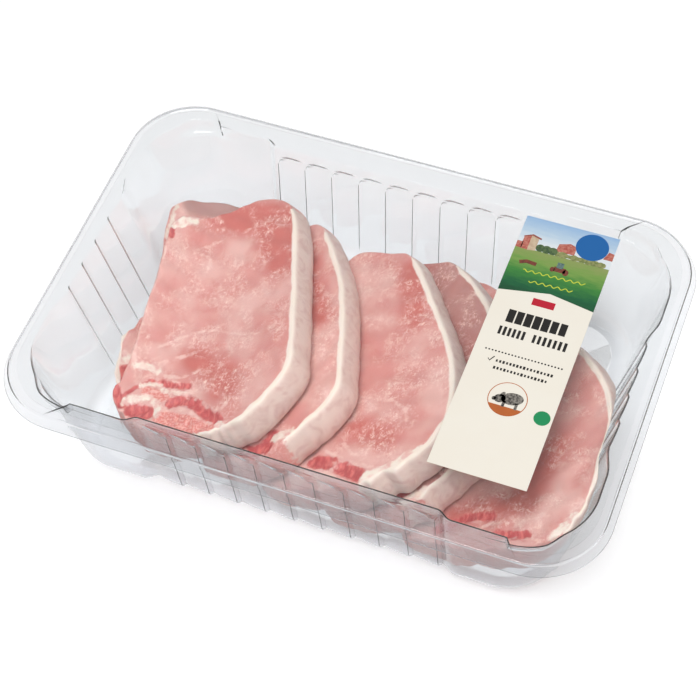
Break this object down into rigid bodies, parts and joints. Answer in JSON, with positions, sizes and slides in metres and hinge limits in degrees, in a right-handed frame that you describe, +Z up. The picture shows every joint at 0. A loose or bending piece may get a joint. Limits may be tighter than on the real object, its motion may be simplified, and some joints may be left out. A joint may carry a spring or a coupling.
{
  "type": "meat tray pack",
  "caption": "Clear ribbed food tray of shingled raw pork chops, sealed with clear film that carries a paper label.",
  "frame": {"origin": "on the floor under the middle of the pack", "axes": "+X along the long side, towards the label; +Y across the tray; +Z up through the film"},
  "size_m": [0.26, 0.18, 0.059],
  "materials": {
    "clear_tray": "thermoformed clear PET",
    "clear_film": "clear lidding film",
    "label_paper": "printed coated paper",
    "pork": "moist raw pork with a pale fat edge"
  },
  "bodies": {
    "root": {"tray": "clear_tray", "lid_film": "clear_film", "label": "label_paper", "chop_1": "pork", "chop_2": "pork", "chop_3": "pork", "chop_4": "pork", "chop_5": "pork", "chop_6": "pork"}
  },
  "joints": []
}
